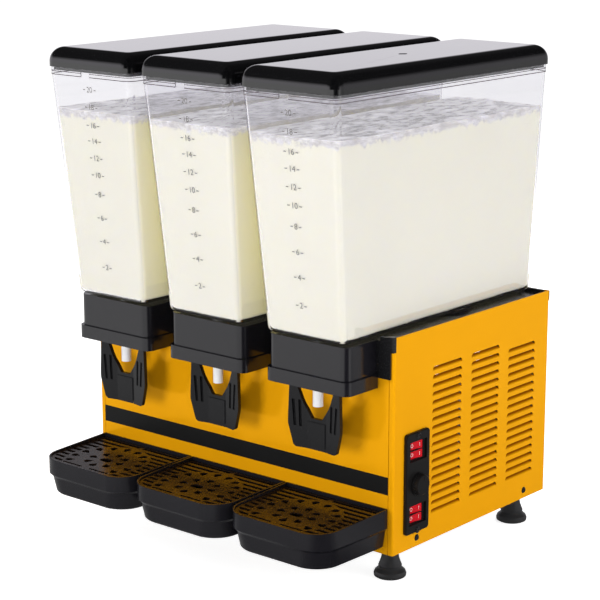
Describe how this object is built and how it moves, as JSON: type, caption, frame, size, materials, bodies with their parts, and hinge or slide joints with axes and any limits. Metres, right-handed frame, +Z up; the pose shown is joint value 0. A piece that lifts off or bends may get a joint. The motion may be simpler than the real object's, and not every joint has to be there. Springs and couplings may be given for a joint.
{
  "type": "cold drink dispenser",
  "caption": "Refrigerated drink dispenser with clear lift-off tanks over push-lever taps, removable drip trays and a louvred cooling cabinet.",
  "frame": {"origin": "centre of the bounding box on the floor, under the feet", "axes": "+Z up, -Y towards the user and the taps, +X to the user's right, where the control plate is"},
  "size_m": [0.5953, 0.5382, 0.7301],
  "materials": {
    "lid": "glossy black moulding",
    "tank": "clear polycarbonate",
    "white_plastic": "white moulding",
    "black_plastic": "semi-gloss black moulding",
    "grille_plastic": "glossy black moulding",
    "yellow_paint": "satin yellow enamel on steel sheet",
    "stripe": "thin black film",
    "red_plastic": "translucent red",
    "steel": "stainless steel",
    "screw": "blackened steel",
    "rubber": "soft black rubber",
    "gasket": "white silicone",
    "motor": "black enamel",
    "fins": "bare fins",
    "copper": "bare copper",
    "galvanised": "galvanised sheet"
  },
  "bodies": {
    "cabinet": {"base_pan": "galvanised", "cable_gland": "rubber", "compressor": "motor", "condenser": "fins", "control_plate": "black_plastic", "deck": "black_plastic", "evaporators": "steel", "fan_motor": "motor", "foot_front_left": "rubber", "foot_front_right": "rubber", "foot_rear_left": "rubber", "foot_rear_right": "rubber", "front_panel": "yellow_paint", "front_stripe": "stripe", "lever_pins": "steel", "lever_springs": "steel", "mixer_motors": "motor", "pipework": "copper", "rear_panel": "galvanised", "screws": "screw", "side_panel_left": "yellow_paint", "side_panel_right": "yellow_paint", "switch_body_lower": "black_plastic", "switch_body_upper": "black_plastic", "tank_gaskets": "gasket", "tap_housing_left": "black_plastic", "tap_housing_middle": "black_plastic", "tap_housing_right": "black_plastic", "thermostat": "black_plastic"},
    "tank_left": {"tank_left": "tank", "outlet_tube_left": "white_plastic"},
    "lid_left": {"lid_left": "lid"},
    "tap_plunger_left": {"tap_plunger_left": "white_plastic"},
    "tap_lever_left": {"tap_lever_left": "black_plastic"},
    "impeller_left": {"impeller_left": "white_plastic"},
    "drip_tray_left": {"drip_tray_left": "black_plastic"},
    "drip_grille_left": {"drip_grille_left": "grille_plastic"},
    "tank_middle": {"tank_middle": "tank", "outlet_tube_middle": "white_plastic"},
    "lid_middle": {"lid_middle": "lid"},
    "tap_plunger_middle": {"tap_plunger_middle": "white_plastic"},
    "tap_lever_middle": {"tap_lever_middle": "black_plastic"},
    "impeller_middle": {"impeller_middle": "white_plastic"},
    "drip_tray_middle": {"drip_tray_middle": "black_plastic"},
    "drip_grille_middle": {"drip_grille_middle": "grille_plastic"},
    "tank_right": {"tank_right": "tank", "outlet_tube_right": "white_plastic"},
    "lid_right": {"lid_right": "lid"},
    "tap_plunger_right": {"tap_plunger_right": "white_plastic"},
    "tap_lever_right": {"tap_lever_right": "black_plastic"},
    "impeller_right": {"impeller_right": "white_plastic"},
    "drip_tray_right": {"drip_tray_right": "black_plastic"},
    "drip_grille_right": {"drip_grille_right": "grille_plastic"},
    "rocker_upper_a": {"rocker_upper_a": "red_plastic"},
    "rocker_upper_b": {"rocker_upper_b": "red_plastic"},
    "rocker_lower_a": {"rocker_lower_a": "red_plastic"},
    "rocker_lower_b": {"rocker_lower_b": "red_plastic"},
    "thermostat_knob": {"thermostat_knob": "black_plastic"},
    "fan_blades": {"fan_blades": "fins"}
  },
  "joints": [
    {"name": "tank_left_lift", "type": "slide", "parent": "cabinet", "child": "tank_left", "axis": [0, 0, 1], "range_m": [0, 0.17]},
    {"name": "lid_left_lift", "type": "slide", "parent": "tank_left", "child": "lid_left", "axis": [0, 0, 1], "range_m": [0, 0.08]},
    {"name": "tap_lever_left_push", "type": "hinge", "parent": "cabinet", "child": "tap_lever_left", "pos_m": [-0.19415, -0.17915, 0.325], "axis": [1, 0, 0], "range_deg": [0, 16], "stiffness_Nm_per_rad": 0.35, "springref_deg": -20.05},
    {"name": "tap_plunger_left_rise", "type": "slide", "parent": "tank_left", "child": "tap_plunger_left", "axis": [0, 0, 1], "range_m": [0, 0.0036]},
    {"name": "impeller_left_spin", "type": "hinge", "parent": "cabinet", "child": "impeller_left", "pos_m": [-0.19415, 0.08285, 0.505], "axis": [0, 0, 1], "continuous": true},
    {"name": "drip_tray_left_pull", "type": "slide", "parent": "cabinet", "child": "drip_tray_left", "axis": [0, -1, 0], "range_m": [0, 0.16]},
    {"name": "drip_grille_left_lift", "type": "slide", "parent": "drip_tray_left", "child": "drip_grille_left", "axis": [0, 0, 1], "range_m": [0, 0.05]},
    {"name": "tank_middle_lift", "type": "slide", "parent": "cabinet", "child": "tank_middle", "axis": [0, 0, 1], "range_m": [0, 0.17]},
    {"name": "lid_middle_lift", "type": "slide", "parent": "tank_middle", "child": "lid_middle", "axis": [0, 0, 1], "range_m": [0, 0.08]},
    {"name": "tap_lever_middle_push", "type": "hinge", "parent": "cabinet", "child": "tap_lever_middle", "pos_m": [-0.00615, -0.17915, 0.325], "axis": [1, 0, 0], "range_deg": [0, 16], "stiffness_Nm_per_rad": 0.35, "springref_deg": -20.05},
    {"name": "tap_plunger_middle_rise", "type": "slide", "parent": "tank_middle", "child": "tap_plunger_middle", "axis": [0, 0, 1], "range_m": [0, 0.0036]},
    {"name": "impeller_middle_spin", "type": "hinge", "parent": "cabinet", "child": "impeller_middle", "pos_m": [-0.00615, 0.08285, 0.505], "axis": [0, 0, 1], "continuous": true},
    {"name": "drip_tray_middle_pull", "type": "slide", "parent": "cabinet", "child": "drip_tray_middle", "axis": [0, -1, 0], "range_m": [0, 0.16]},
    {"name": "drip_grille_middle_lift", "type": "slide", "parent": "drip_tray_middle", "child": "drip_grille_middle", "axis": [0, 0, 1], "range_m": [0, 0.05]},
    {"name": "tank_right_lift", "type": "slide", "parent": "cabinet", "child": "tank_right", "axis": [0, 0, 1], "range_m": [0, 0.17]},
    {"name": "lid_right_lift", "type": "slide", "parent": "tank_right", "child": "lid_right", "axis": [0, 0, 1], "range_m": [0, 0.08]},
    {"name": "tap_lever_right_push", "type": "hinge", "parent": "cabinet", "child": "tap_lever_right", "pos_m": [0.18185, -0.17915, 0.325], "axis": [1, 0, 0], "range_deg": [0, 16], "stiffness_Nm_per_rad": 0.35, "springref_deg": -20.05},
    {"name": "tap_plunger_right_rise", "type": "slide", "parent": "tank_right", "child": "tap_plunger_right", "axis": [0, 0, 1], "range_m": [0, 0.0036]},
    {"name": "impeller_right_spin", "type": "hinge", "parent": "cabinet", "child": "impeller_right", "pos_m": [0.18185, 0.08285, 0.505], "axis": [0, 0, 1], "continuous": true},
    {"name": "drip_tray_right_pull", "type": "slide", "parent": "cabinet", "child": "drip_tray_right", "axis": [0, -1, 0], "range_m": [0, 0.16]},
    {"name": "drip_grille_right_lift", "type": "slide", "parent": "drip_tray_right", "child": "drip_grille_right", "axis": [0, 0, 1], "range_m": [0, 0.05]},
    {"name": "rocker_upper_a_tilt", "type": "hinge", "parent": "cabinet", "child": "rocker_upper_a", "pos_m": [0.27755, -0.07415, 0.1983], "axis": [0, 0, 1], "range_deg": [0, 14]},
    {"name": "rocker_upper_b_tilt", "type": "hinge", "parent": "cabinet", "child": "rocker_upper_b", "pos_m": [0.27755, -0.07415, 0.1849], "axis": [0, 0, 1], "range_deg": [0, 14]},
    {"name": "rocker_lower_a_tilt", "type": "hinge", "parent": "cabinet", "child": "rocker_lower_a", "pos_m": [0.27755, -0.07415, 0.1046], "axis": [0, 0, 1], "range_deg": [0, 14]},
    {"name": "rocker_lower_b_tilt", "type": "hinge", "parent": "cabinet", "child": "rocker_lower_b", "pos_m": [0.27755, -0.07415, 0.0912], "axis": [0, 0, 1], "range_deg": [0, 14]},
    {"name": "thermostat_knob_turn", "type": "hinge", "parent": "cabinet", "child": "thermostat_knob", "pos_m": [0.28885, -0.07415, 0.1427], "axis": [1, 0, 0], "range_deg": [0, 270]},
    {"name": "fan_spin", "type": "hinge", "parent": "cabinet", "child": "fan_blades", "pos_m": [0.16385, 0.06285, 0.1518], "axis": [1, 0, 0], "continuous": true}
  ],
  "couplings": [
    {"joint": "tap_plunger_left_rise", "follows": "tap_lever_left_push", "m_per_rad": 0.01246},
    {"joint": "tap_plunger_middle_rise", "follows": "tap_lever_middle_push", "m_per_rad": 0.01246},
    {"joint": "tap_plunger_right_rise", "follows": "tap_lever_right_push", "m_per_rad": 0.01246}
  ]
}
